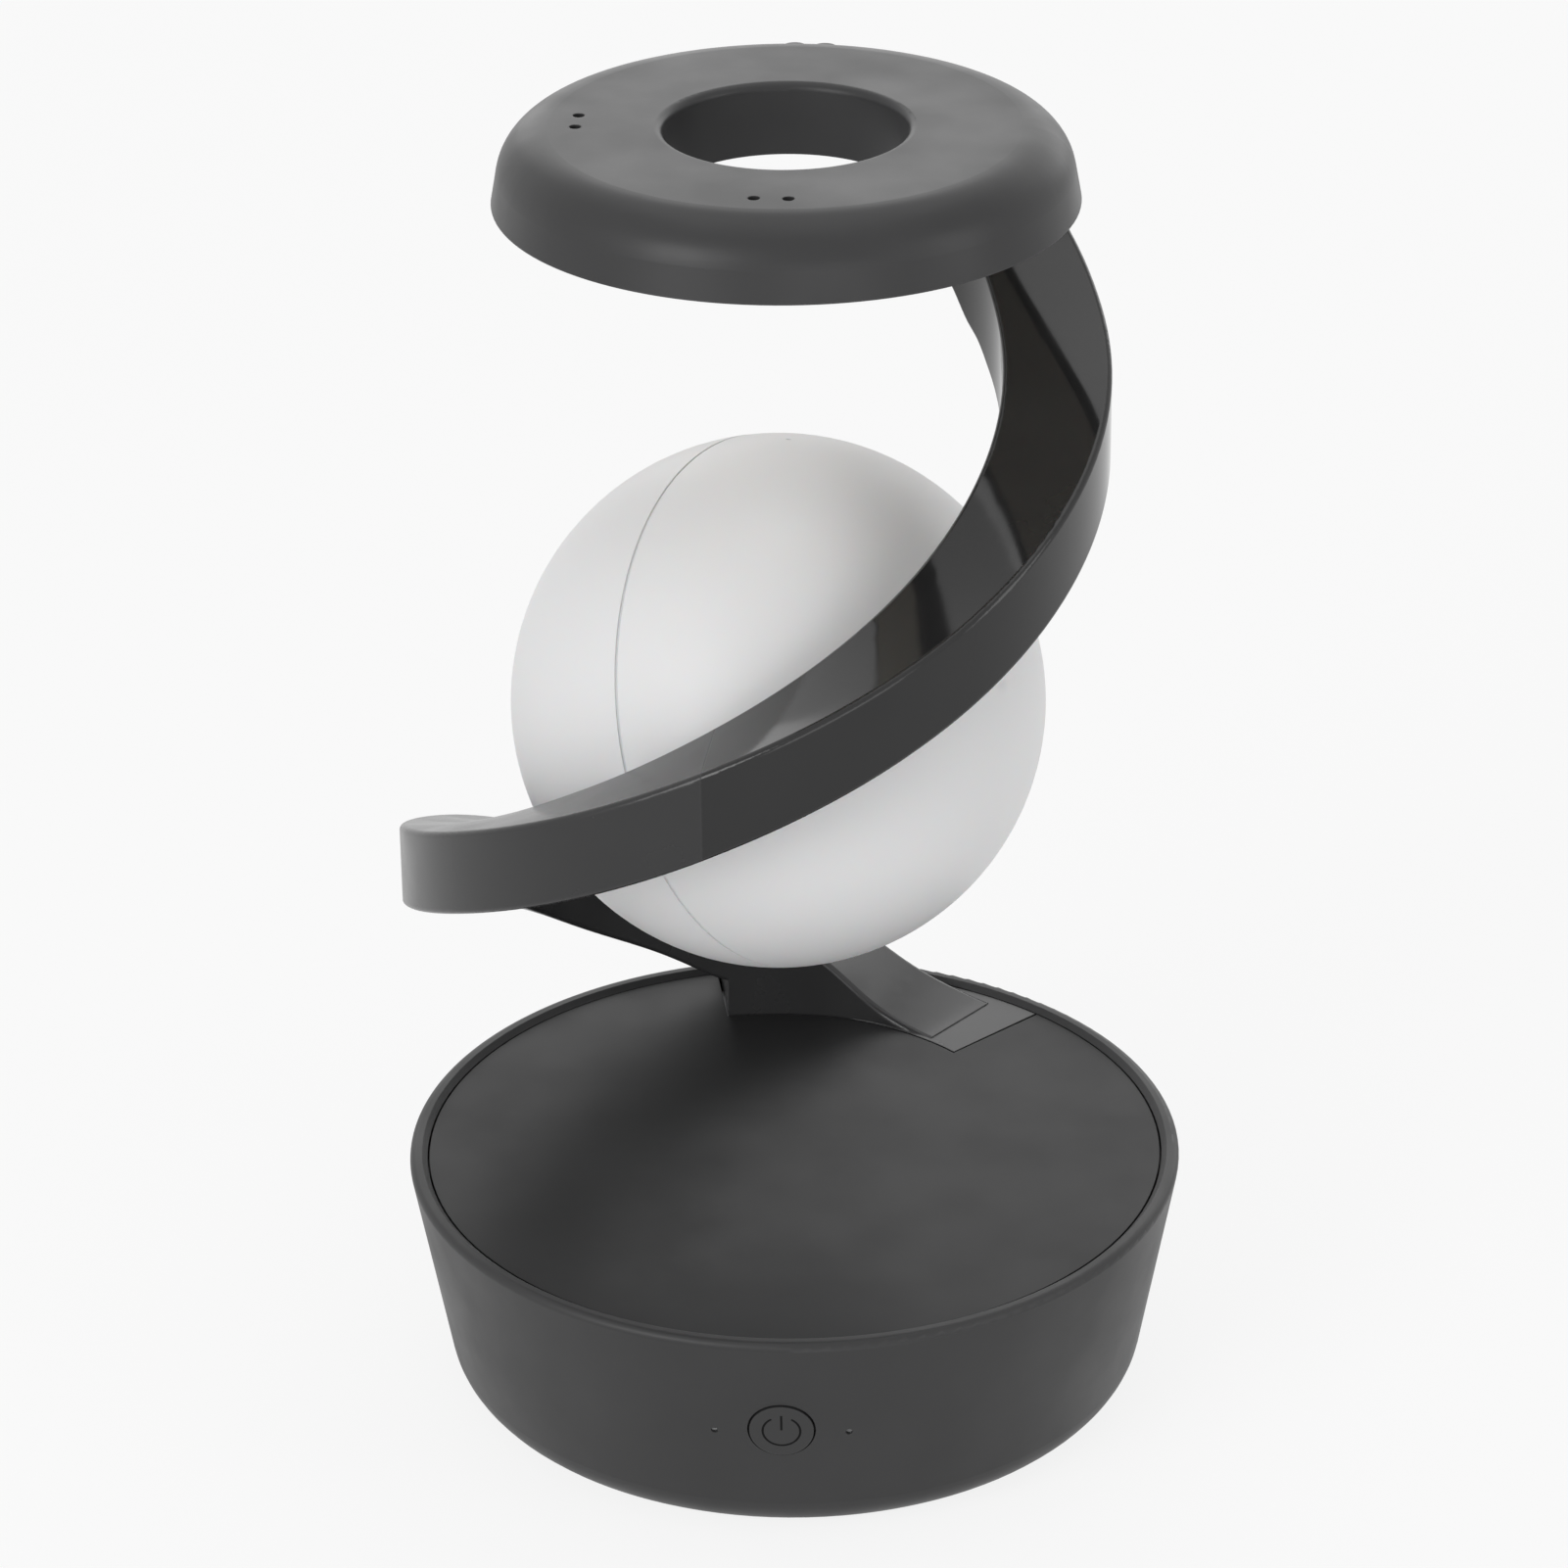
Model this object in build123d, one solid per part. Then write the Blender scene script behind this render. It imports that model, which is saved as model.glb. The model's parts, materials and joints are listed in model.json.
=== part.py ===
from build123d import *
import os
from math import atan2, cos, degrees, hypot, radians, sin, sqrt

# Balance lamp with a spiral arm: a drum base, a one-turn ribbon arm, a light ring on top, and a
# white ball that a magnet holds against the inside of the arm.
# Frame: origin on the table under the base's centre, +Z up, the power button faces -Y.
# Lengths are in millimetres. Azimuths are in degrees from the front, anticlockwise seen from above.

# ---- driving dimensions -------------------------------------------------------------------------
# base
foot_height = 1.0
base_height = 45.2              # underside of the base to the top of the lid
base_rim_radius = 75.2
base_bottom_radius = 67.0
base_edge_radius = 8.5
base_wall = 2.6
base_floor = 4.7
rim_rise = 1.0                  # the rim stands above the lid
rim_round = 1.3
rim_width = 4.0                 # base's outside to the lid's edge
lid_radius = base_rim_radius - rim_width
lid_thickness = 2.4
lid_gap = 0.35
rim_chamfer = 1.05
ledge_width = 3.0
ledge_thickness = 2.0
lid_post_radius = 4.0
lid_post_azimuths = (50, -50, 110, -110)
cover_margin = 11.0             # base's lower corner to the bottom cover
cover_radius = base_bottom_radius - cover_margin
lid_post_circle = cover_radius - 6.0
cover_thickness = 2.2
cover_gap = 0.3
floor_opening_radius = cover_radius - 10.0
pad_radius = 7.0
pad_recess = 0.9
pad_circle = cover_radius - 10.0
pad_azimuths = (0, 80, 180, -80)

# inside the base
ballast_radius = floor_opening_radius - 6.0
ballast_thickness = 6.0
board_post_circle = 30.0
board_post_radius = 3.0
board_post_height = 9.8
board_post_azimuths = (90, 210, 330)
board_thickness = 1.6
board_width = 56.0
board_front = 30.0              # front edge of the board, in front of the centre
board_rear = 45.0
board_tail_width = 18.0
board_tail_setback = 2.8        # tail's end to the inlet's mouth
inlet_width = 9.0
inlet_height = 3.3
inlet_depth = 7.8
inlet_skin = 0.3
inlet_margin = 0.5
inlet_wall = 0.35
BOARD_CHIPS = (
    # x, y, width, depth, height
    (-16.0, 34.0, 7.0, 6.0, 4.0),
    (0.0, 8.0, 10.0, 10.0, 1.2),
    (-18.0, 12.0, 7.0, 5.0, 1.5),
    (17.0, -14.0, 8.0, 8.0, 4.0),
    (-16.0, -14.0, 9.0, 5.0, 5.5),
)
capacitor_place = (18.0, 8.0, 0.0)
capacitor_radius = 4.0
capacitor_height = 9.0

# power button and the two indicator holes beside it
button_height = 25.5            # above the underside of the base
button_radius = 6.0
button_gap = 0.35
button_proud = 0.3
button_travel = 0.8
button_seat = 2.0               # wall left round the button
button_flange = 1.4
button_flange_thickness = 1.0
button_play = 0.1
switch_size = 6.0
switch_height = 3.5
plunger_radius = 1.5
plunger_gap = 0.2
button_board_depth = 8.2
button_board_width = 44.0
button_board_height = 12.0
button_board_post = 19.0
button_board_post_radius = 2.2
indicator_spacing = 25.0
indicator_drop = 1.2
indicator_radius = 0.65
indicator_inset = 0.7

# spiral arm
arm_axis_x = -7.45              # the arm winds round its own axis, left of the base's centre
arm_axis_y = -0.3
arm_setback = 4.7               # lid's radius to the arm's
arm_radius = lid_radius - arm_setback    # outer wall
arm_width = 19.9
arm_thickness = 15.2            # square to the climb
arm_wall = 2.4
arm_round = 1.1
arm_rise = 196.4                # lid to the underside of the ring
arm_seam_angle = -5.0           # where the lower and upper arm meet
foot_start_angle = -218.0
foot_end_angle = -171.5
foot_plate_end_angle = -225.5
arm_top_angle = 162.0
plug_reach = 11.0               # degrees that the joint plug enters each arm
plug_wall = 1.8
fit_gap = 0.15
clamp_thickness = 2.0
clamp_azimuths = (127, 205)
clamp_width = 29.2
clamp_inner_radius = lid_radius - clamp_width
foot_screw_angles = (-203, -190, -175)
foot_seam_gap = 0.45
rim_gap = 0.3
lead_radius = 1.4
lead_depth = 8.4                # lead's centre inside the arm's outer wall
lead_bore_angle = -181.0
lead_bore_radius = 2.8
lead_exit_angle = 145.5         # where the lead leaves the arm for the ring
arm_hollow_end = lead_exit_angle + 3.5
lead_socket = (-16.0, 34.0)
lead_rise = 8.0

# light ring
ring_setback = 13.5             # arm's radius to the ring's
ring_radius = arm_radius - ring_setback  # at the lower edge
ring_top_radius = ring_radius - 2.5      # where the side would meet the top without its rounding
ring_height = 13.6
ring_round = 9.6
ring_face_width = 31.0          # lower edge to the hole
ring_hole_radius = ring_radius - ring_face_width
ring_hole_round = 1.5
ring_wall = 2.2
diffuser_thickness = 1.9
diffuser_proud = 0.6
diffuser_gap = 0.2
diffuser_ledge = 1.0
diffuser_notch = 1.6
notch_margin = 3.0              # degrees
ring_board_thickness = 1.2
ring_board_drop = 4.9           # top of the LED board under the top of the ring
ring_board_radii = (ring_hole_radius + 4.0, ring_radius - 9.6)
ring_led_count = 24
ring_led_circle = ring_board_radii[1] - 9.4
ring_board_screw_circle = ring_board_radii[1] - 3.4
ring_board_screw_azimuths = (-150, -60, 60)
tongue_height = 6.0
tongue_width = 4.4
tongue_inset = 1.4
boss_radius = 2.2
ring_screw_grip = 3.6
ear_thickness = 2.8
ear_reach = 13.0                # degrees that each ear stands out beside the arm
vent_hole_radius = 1.1
vent_hole_setback = 15.6        # ring's lower edge to the holes
vent_hole_circle = ring_radius - vent_hole_setback
vent_hole_spacing = 6.0
vent_hole_azimuths = (-1.7, -92.0)

# ball
ball_overlap = 3.8              # ball's radius over the arm's inner radius
ball_radius = arm_radius - arm_width + ball_overlap
ball_wall = 2.0
ball_x = -2.5
ball_y = 5.0
ball_rise = 93.6                # lid to the ball's centre
ball_seam_azimuth = 60.9        # direction square to the seam between the two halves
ball_seam_tilt = 17.7
ball_seam_groove = 0.25
ball_lip = 2.5
ball_lip_wall = 0.9
magnet_angle = -25.0            # place along the arm
magnet_radius = 6.0
magnet_depth = 7.0              # into the arm
magnet_play = 0.1
magnet_cup_wall = 1.6
ball_gap = 0.3                  # between the magnet's dished face and the ball
ball_magnet_thickness = 4.0
frame_thickness = 1.8
frame_ring_width = 10.0
frame_spoke_width = 7.0
battery_size = (26.0, 18.0, 7.0)
frame_hub_radius = hypot(battery_size[0], battery_size[1]) / 2 + 1.2
ball_board_radius = 15.0
ball_board_gap = 1.0
ball_led_count = 6
ball_lip_gap = 0.1
ball_post_radius = 1.6
ball_post_place = 12.0
pin_mark_direction = Vector(0.041, 0.18, 0.983)
pin_mark_radius = 0.5
led_size = (3.5, 2.8, 0.8)
magnet_dish = 0.25

# screws
screw_radius = 1.2
screw_gap = 0.1
head_radius = 2.6
head_height = 1.3
screw_grip = 9.0

# ---- levels worked out from them ----------------------------------------------------------------
base_z = foot_height
lid_z = base_z + base_height
rim_z = lid_z + rim_rise
plate_z = lid_z - lid_thickness
cover_top_z = base_z + cover_thickness
floor_z = base_z + base_floor
board_z = cover_top_z + board_post_height
ring_z = lid_z + arm_rise
ring_top_z = ring_z + ring_height
taper = (base_rim_radius - base_bottom_radius) / (rim_z - base_z)
ball_centre = Vector(ball_x, ball_y, lid_z + ball_rise)

# Stations of the arm's ribbon: angle round the arm's axis, how far the outer and the inner wall
# stand outside their usual radii, and the top face's share of the climb from lid to ring.
ARM_STATIONS = (
    (-218.0, 7.3, 7.3, 0.001),
    (-211.5, 7.3, 7.3, 0.005),
    (-206.5, 7.3, 7.3, 0.013),
    (-202.5, 7.2, 7.2, 0.024),
    (-198.5, 7.0, 7.0, 0.039),
    (-194.5, 6.8, 6.8, 0.0575),
    (-180.0, 6.0, 6.0, 0.101),
    (-164.5, 5.4, 5.4, 0.145),
    (-140.0, 3.6, 3.6, 0.217),
    (-119.5, 1.8, 1.8, 0.2785),
    (-90.0, 0.4, 0.4, 0.3555),
    (-60.0, 0.0, 0.0, 0.431),
    (-30.0, 0.0, 0.0, 0.5085),
    (0.0, 0.0, 0.0, 0.5905),
    (30.0, 0.0, 0.0, 0.6725),
    (60.0, 0.0, 0.0, 0.7555),
    (85.0, 0.0, 0.0, 0.8215),
    (105.0, 0.0, 0.0, 0.873),
    (118.0, 0.0, 0.0, 0.914),
    (124.0, -0.5, 0.0, 0.9375),
    (129.0, -2.2, 0.0, 0.957),
    (135.0, -5.6, 0.0, 0.98),
    (141.0, -9.2, 0.0, 1.004),
    (150.0, -11.6, 0.0, 1.04),
    (162.0, -12.4, 0.0, 1.088),
)


# ---- small helpers ------------------------------------------------------------------------------
def polar(azimuth, radius, z=0.0):
    """Point at an azimuth round the base's centre."""
    return Vector(radius * sin(radians(azimuth)), -radius * cos(radians(azimuth)), z)


def around(azimuths, radius, z=0.0):
    """Locations on a circle round the base's centre."""
    return [Location(polar(azimuth, radius, z)) for azimuth in azimuths]


def rod(radius, low_z, high_z):
    """Upright cylinder between two levels."""
    return Pos(0, 0, low_z) * extrude(Circle(radius), high_z - low_z)


def tube(outer_radius, inner_radius, low_z, high_z):
    return rod(outer_radius, low_z, high_z) - rod(inner_radius, low_z - 1, high_z + 1)


def sector(inner_radius, outer_radius, start_azimuth, end_azimuth, low_z, high_z):
    """Slice of a flat ring between two azimuths round the base's centre."""
    middle = (start_azimuth + end_azimuth) / 2
    outline = [
        ThreePointArc(
            polar(start_azimuth, outer_radius), polar(middle, outer_radius), polar(end_azimuth, outer_radius)
        ),
        Line(polar(end_azimuth, outer_radius), polar(end_azimuth, inner_radius)),
        ThreePointArc(
            polar(end_azimuth, inner_radius), polar(middle, inner_radius), polar(start_azimuth, inner_radius)
        ),
        Line(polar(start_azimuth, inner_radius), polar(start_azimuth, outer_radius)),
    ]
    return Pos(0, 0, low_z) * extrude(make_face(outline), high_z - low_z)


def revolved(points, roundings):
    """Solid of revolution from (radius, z) points; roundings pairs a point with its radius."""
    face = make_face(Polyline(*points, close=True))
    for point, radius in roundings:
        face = fillet(face.vertices().sort_by_distance(point)[0], radius)
    return revolve(Plane.XZ * face, Axis.Z)


def screw(length):
    """Round-headed screw, head down, its shank rising from z = 0."""
    return rod(screw_radius, 0, length) + rod(head_radius, -head_height, 0)


# ---- the arm's path -----------------------------------------------------------------------------
def station_value(angle, column):
    """Smooth value of one column of the stations at an angle, by a cubic through its neighbours."""
    last = len(ARM_STATIONS) - 1
    i = 0
    while i < last - 1 and ARM_STATIONS[i + 1][0] < angle:
        i += 1

    def slope(k):
        low, high = max(k - 1, 0), min(k + 1, last)
        rise = ARM_STATIONS[high][column] - ARM_STATIONS[low][column]
        return rise / (ARM_STATIONS[high][0] - ARM_STATIONS[low][0])

    start, end = ARM_STATIONS[i], ARM_STATIONS[i + 1]
    span = end[0] - start[0]
    t = (angle - start[0]) / span
    return (
        start[column] * (2 * t**3 - 3 * t**2 + 1)
        + end[column] * (3 * t**2 - 2 * t**3)
        + slope(i) * span * (t**3 - 2 * t**2 + t)
        + slope(i + 1) * span * (t**3 - t**2)
    )


def outer_wall(angle):
    return arm_radius + station_value(angle, 1)


def inner_wall(angle):
    return arm_radius - arm_width + station_value(angle, 2)


def top_level(angle):
    return lid_z + arm_rise * station_value(angle, 3)


def steepness(angle):
    """Length along the climb over its length in plan."""
    step = 1.0
    climb = (top_level(angle + step) - top_level(angle - step)) / (2 * radians(step))
    return sqrt(1 + (climb / ((outer_wall(angle) + inner_wall(angle)) / 2)) ** 2)


def arm_point(angle, radius, z):
    return Vector(
        arm_axis_x + radius * sin(radians(angle)), arm_axis_y - radius * cos(radians(angle)), z
    )


def arm_plane(angle):
    """Upright plane through the arm's axis: local X points outwards, local Y points up."""
    a = radians(angle)
    return Plane(
        origin=(arm_axis_x, arm_axis_y, 0), x_dir=(sin(a), -cos(a), 0), z_dir=(-cos(a), -sin(a), 0)
    )


def arm_section(angle, inset=0.0, floor=None):
    """Rounded section of the ribbon, drawn in by an inset, or standing on a floor level."""
    low_r = inner_wall(angle) + inset
    high_r = outer_wall(angle) - inset
    high_z = top_level(angle) - inset * steepness(angle)
    low_z = top_level(angle) - (arm_thickness - inset) * steepness(angle)
    if floor is not None:
        low_z = floor
    centre = Pos((low_r + high_r) / 2, (low_z + high_z) / 2)
    return arm_plane(angle) * centre * RectangleRounded(high_r - low_r, high_z - low_z, arm_round)


def arm_loft(start_angle, end_angle, step, inset=0.0, floor=None):
    count = max(2, round((end_angle - start_angle) / step))
    angles = [start_angle + (end_angle - start_angle) * i / count for i in range(count + 1)]
    return loft([arm_section(angle, inset, floor) for angle in angles])


def arm_sector(start_angle, end_angle, grow, low_z, high_z):
    """Flat plate under the arm's foot: inner edge on the arm's wall, outer edge on the lid's circle."""
    middle = (start_angle + end_angle) / 2
    inner = inner_wall(middle) - grow
    reach = arm_radius + arm_width
    ends = [arm_point(start_angle, inner, 0), arm_point(end_angle, inner, 0)]
    outline = [
        ThreePointArc(ends[0], arm_point(middle, inner, 0), ends[1]),
        Line(ends[1], arm_point(end_angle, reach, 0)),
        ThreePointArc(
            arm_point(end_angle, reach, 0), arm_point(middle, reach, 0), arm_point(start_angle, reach, 0)
        ),
        Line(arm_point(start_angle, reach, 0), ends[0]),
    ]
    plate = Pos(0, 0, low_z) * extrude(make_face(outline), high_z - low_z)
    return plate & rod(lid_radius, low_z, high_z)


def lead_point(angle):
    """Point on the lead's route inside the arm, close to its outer wall."""
    depth = min(lead_depth, (outer_wall(angle) - inner_wall(angle)) / 2)
    level = top_level(angle) - arm_thickness / 2 * steepness(angle)
    return arm_point(angle, outer_wall(angle) - depth, level)


def crossing_angle(level_below):
    """Angle at which the arm's surface, level_below under its top face, meets the ring's underside."""
    angle = foot_end_angle
    while top_level(angle) - level_below * steepness(angle) < ring_z and angle < arm_top_angle:
        angle += 0.25
    return angle


def azimuth_of(point):
    return degrees(atan2(point.X, -point.Y)) % 360


# ---- base ---------------------------------------------------------------------------------------
def side_radius(z):
    return base_bottom_radius + taper * (z - base_z)


lid_seat_radius = lid_radius + lid_gap
ledge_z = plate_z - ledge_thickness

button_z = base_z + button_height
button_tilt = atan2(taper, 1)
button_plane = Plane(
    origin=(0, -side_radius(button_z), button_z),
    x_dir=(1, 0, 0),
    z_dir=(0, -cos(button_tilt), -sin(button_tilt)),
)


def button_rod(x, y, radius, shallow, deep):
    """Rod square to the front wall, between two depths behind the button's place."""
    return button_plane * Pos(x, y, -deep) * extrude(Circle(radius), deep - shallow)


def indicator_depth():
    """How far the round wall falls back at the indicator holes."""
    return (indicator_spacing / 2) ** 2 / (2 * side_radius(button_z))


inlet_z = board_z + board_thickness + inlet_height / 2
inlet_front = side_radius(inlet_z) - base_wall - inlet_skin
inlet_plane = Plane(origin=(0, 0, inlet_z), x_dir=(-1, 0, 0), z_dir=(0, 1, 0))


def base_outside(grow=0.0):
    """The base's outside as a full solid, grown sideways."""
    bottom = (base_bottom_radius + grow, base_z)
    rim = (base_rim_radius + grow, rim_z)
    return revolved([(0, base_z), bottom, rim, (0, rim_z)], [(bottom, base_edge_radius), (rim, rim_round)])


def base_housing():
    low_corner = (side_radius(floor_z) - base_wall, floor_z)
    cavity = revolved(
        [(0, floor_z), low_corner, (side_radius(ledge_z) - base_wall, ledge_z), (0, ledge_z)],
        [(low_corner, base_edge_radius - base_wall)],
    )
    body = base_outside() - cavity
    body -= rod(lid_seat_radius - ledge_width, ledge_z - 1, plate_z)
    body -= rod(lid_seat_radius, plate_z, rim_z + 1)
    body -= revolved(
        [(0, lid_z), (lid_seat_radius, lid_z), (lid_seat_radius + rim_chamfer, rim_z), (0, rim_z)], []
    )
    body -= rod(cover_radius + cover_gap, base_z - 1, cover_top_z)
    body -= rod(floor_opening_radius, base_z, floor_z + 1)
    for place in around(lid_post_azimuths, lid_post_circle):
        body -= place * rod(screw_radius + screw_gap, base_z, floor_z + 1)
    wall_depth = 2 * base_wall
    body -= button_rod(0, 0, button_radius + button_gap, -wall_depth, wall_depth)
    body -= button_rod(0, 0, button_radius + button_flange + button_gap, button_seat, 2 * wall_depth)
    for side in (-1, 1):
        x = side * indicator_spacing / 2
        body -= button_rod(x, -indicator_drop, indicator_radius, -wall_depth, 2 * wall_depth)
        x = side * button_board_post
        post = button_rod(x, 0, button_board_post_radius, base_wall / 2, button_board_depth)
        body += post & base_outside(-base_wall / 2)
    slot = SlotOverall(inlet_width + 2 * inlet_margin, inlet_height + 2 * inlet_margin)
    body -= inlet_plane * Pos(0, 0, inlet_front - 1) * extrude(slot, base_rim_radius)
    return body


def base_lid():
    body = rod(lid_radius, plate_z, lid_z)
    for place in around(lid_post_azimuths, lid_post_circle):
        body += place * rod(lid_post_radius, floor_z, plate_z)
        body -= place * rod(screw_radius, floor_z - 1, floor_z + screw_grip)
    gap_angle = degrees(foot_seam_gap / arm_radius)
    body -= arm_loft(foot_start_angle, foot_end_angle + gap_angle, 5, -foot_seam_gap, plate_z - 1)
    return body - arm_sector(
        foot_plate_end_angle - gap_angle, foot_end_angle + gap_angle, foot_seam_gap, plate_z - 1, lid_z + 1
    )


def bottom_cover():
    body = rod(cover_radius, base_z, cover_top_z)
    for place in around(lid_post_azimuths, lid_post_circle):
        body -= place * rod(screw_radius + screw_gap, base_z - 1, cover_top_z + 1)
        body -= place * rod(head_radius + cover_gap, base_z - 1, base_z + head_height)
    for place in around(pad_azimuths, pad_circle):
        body -= place * rod(pad_radius, base_z - 1, base_z + pad_recess)
    for place in around(board_post_azimuths, board_post_circle):
        body += place * rod(board_post_radius, cover_top_z, board_z)
        body -= place * rod(screw_radius, board_z - screw_grip, board_z + 1)
    return body


def rubber_feet():
    return [place * rod(pad_radius, 0, base_z + pad_recess) for place in around(pad_azimuths, pad_circle)]


def cover_screws():
    length = base_floor - head_height + screw_grip - 1
    places = around(lid_post_azimuths, lid_post_circle, base_z + head_height)
    return [place * screw(length) for place in places]


def ballast_plate():
    body = rod(ballast_radius, cover_top_z, cover_top_z + ballast_thickness)
    for place in around(board_post_azimuths, board_post_circle):
        body -= place * rod(board_post_radius + cover_gap, cover_top_z - 1, board_z)
    return body


def main_board():
    depth = board_front + board_rear
    outline = Pos(0, board_rear - depth / 2) * Rectangle(board_width, depth)
    reach = inlet_front - board_tail_setback
    tail = Pos(0, reach / 2) * Rectangle(board_tail_width, reach)
    body = Pos(0, 0, board_z) * extrude(outline + tail, board_thickness)
    body &= rod(base_bottom_radius, board_z, board_z + board_thickness)
    for place in around(board_post_azimuths, board_post_circle):
        body -= place * rod(screw_radius + screw_gap, board_z - 1, board_z + board_thickness + 1)
    return body


def board_screws():
    top = board_z + board_thickness
    upside_down = Rot(180, 0, 0) * screw(board_thickness + screw_grip - 1)
    return [place * upside_down for place in around(board_post_azimuths, board_post_circle, top)]


def board_chips():
    """Controller, charging coil former, capacitor and lead socket on the main board."""
    top = board_z + board_thickness
    chips = [Pos(x, y, top + h / 2) * Box(w, d, h) for x, y, w, d, h in BOARD_CHIPS]
    capacitor = Pos(*capacitor_place) * rod(capacitor_radius, top, top + capacitor_height)
    return [*chips, capacitor]


def power_inlet():
    """Socket for the supply plug, with its contact blade."""
    shell = SlotOverall(inlet_width, inlet_height)
    bore = SlotOverall(inlet_width - 2 * inlet_wall, inlet_height - 2 * inlet_wall)
    body = Pos(0, 0, inlet_front - inlet_depth) * extrude(shell, inlet_depth)
    body -= Pos(0, 0, inlet_front - inlet_depth + inlet_wall * 3) * extrude(bore, inlet_depth)
    blade_depth = inlet_depth - inlet_wall * 4
    blade = Rectangle(inlet_width - 6 * inlet_wall, inlet_wall * 2)
    body += Pos(0, 0, inlet_front - inlet_depth + inlet_wall) * extrude(blade, blade_depth)
    return inlet_plane * body


# ---- power button -------------------------------------------------------------------------------
flange_depth = button_seat + button_play
stem_depth = flange_depth + button_flange_thickness
switch_depth = button_board_depth - switch_height


def power_button():
    cap = button_rod(0, 0, button_radius, -base_wall, stem_depth) & base_outside(button_proud)
    return cap + button_rod(0, 0, button_radius + button_flange, flange_depth, stem_depth)


def switch_plunger():
    return button_rod(0, 0, plunger_radius, stem_depth, switch_depth + 1)


def tact_switch():
    case = extrude(Rectangle(switch_size, switch_size), switch_height)
    body = button_plane * Pos(0, 0, -button_board_depth) * case
    well_end = switch_depth + 1 + button_travel + plunger_gap
    return body - button_rod(0, 0, plunger_radius + plunger_gap, 0, well_end)


def button_board():
    outline = Rectangle(button_board_width, button_board_height)
    return button_plane * Pos(0, 0, -button_board_depth - board_thickness) * extrude(outline, board_thickness)


def indicator_pipes():
    start = indicator_depth() + indicator_inset
    return [
        button_rod(side * indicator_spacing / 2, -indicator_drop, indicator_radius, start, button_board_depth)
        for side in (-1, 1)
    ]


# ---- arm ----------------------------------------------------------------------------------------
magnet_wall = arm_point(magnet_angle, inner_wall(magnet_angle), ball_centre.Z)
magnet_reach = (magnet_wall - ball_centre).length
magnet_plane = Plane(origin=ball_centre, x_dir=(0, 0, 1), z_dir=magnet_wall - ball_centre)


def magnet_rod(radius, near, far):
    """Rod on the line from the ball's centre to the magnet, between two distances."""
    return magnet_plane * Pos(0, 0, near) * extrude(Circle(radius), far - near)


def foot_screw_place(angle, z):
    return Location(arm_point(angle, (outer_wall(angle) + inner_wall(angle)) / 2, z))


def lower_arm():
    ribbon = arm_loft(foot_end_angle, arm_seam_angle, 12)
    cup_end = magnet_reach + magnet_depth + magnet_cup_wall
    cup = magnet_rod(magnet_radius + magnet_cup_wall, magnet_reach - 2, cup_end) & ribbon
    ramp = arm_loft(foot_start_angle, foot_end_angle, 5, floor=plate_z)
    ramp -= tube(2 * base_rim_radius, lid_radius, plate_z - 1, rim_z + rim_gap)
    plate = arm_sector(foot_plate_end_angle, foot_end_angle, 0, plate_z, lid_z)
    body = ribbon + ramp + plate
    body -= arm_loft(lead_bore_angle - 2, arm_seam_angle, 12, arm_wall)
    body += cup
    pocket_end = magnet_reach + magnet_depth + magnet_play
    body -= magnet_rod(magnet_radius + magnet_play, magnet_reach - 4, pocket_end)
    bore_top = top_level(lead_bore_angle) - 2 * arm_wall
    body -= Location(lead_point(lead_bore_angle)) * Pos(0, 0, -lead_point(lead_bore_angle).Z) * rod(
        lead_bore_radius, plate_z - 1, bore_top
    )
    for angle in foot_screw_angles:
        body -= foot_screw_place(angle, 0) * rod(screw_radius, plate_z - 1, plate_z + foot_screw_grip(angle))
    return body


def foot_screw_grip(angle):
    """Depth of a foot screw, short of the ramp's top face."""
    return min(screw_grip, top_level(angle) - plate_z - arm_wall)


def foot_clamp_plate():
    """Steel plate under the lid that pulls the arm's foot down on it."""
    outer = lid_seat_radius - ledge_width - lid_gap
    body = sector(clamp_inner_radius, outer, *clamp_azimuths, plate_z - clamp_thickness, plate_z)
    for angle in foot_screw_angles:
        body -= foot_screw_place(angle, 0) * rod(screw_radius + screw_gap, plate_z - 10, plate_z + 1)
    hole = lead_point(lead_bore_angle)
    return body - Pos(hole.X, hole.Y, 0) * rod(lead_bore_radius, plate_z - 10, plate_z + 1)


def foot_screws():
    under = plate_z - clamp_thickness
    return [
        foot_screw_place(angle, under) * screw(clamp_thickness + foot_screw_grip(angle) - screw_gap)
        for angle in foot_screw_angles
    ]


def arm_joint_plug():
    """Sleeve inside both arms that lines them up at the seam."""
    start, end = arm_seam_angle - plug_reach, arm_seam_angle + plug_reach
    outside = arm_loft(start, end, 5, arm_wall + fit_gap)
    return outside - arm_loft(start, end, 5, arm_wall + fit_gap + plug_wall)


top_start = azimuth_of(arm_point(crossing_angle(0), arm_radius - arm_width, 0))
top_end = azimuth_of(arm_point(crossing_angle(arm_thickness), arm_radius - arm_width, 0))
tongue_outer = ring_radius - ring_wall - diffuser_ledge - tongue_inset
tongue_circle = tongue_outer - tongue_width / 2
tongue_z = ring_z + tongue_height
ear_azimuths = (top_end - 9, top_end + ear_reach)
ear_screw_azimuths = (top_end + 2, top_end + ear_reach - 4)


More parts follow.
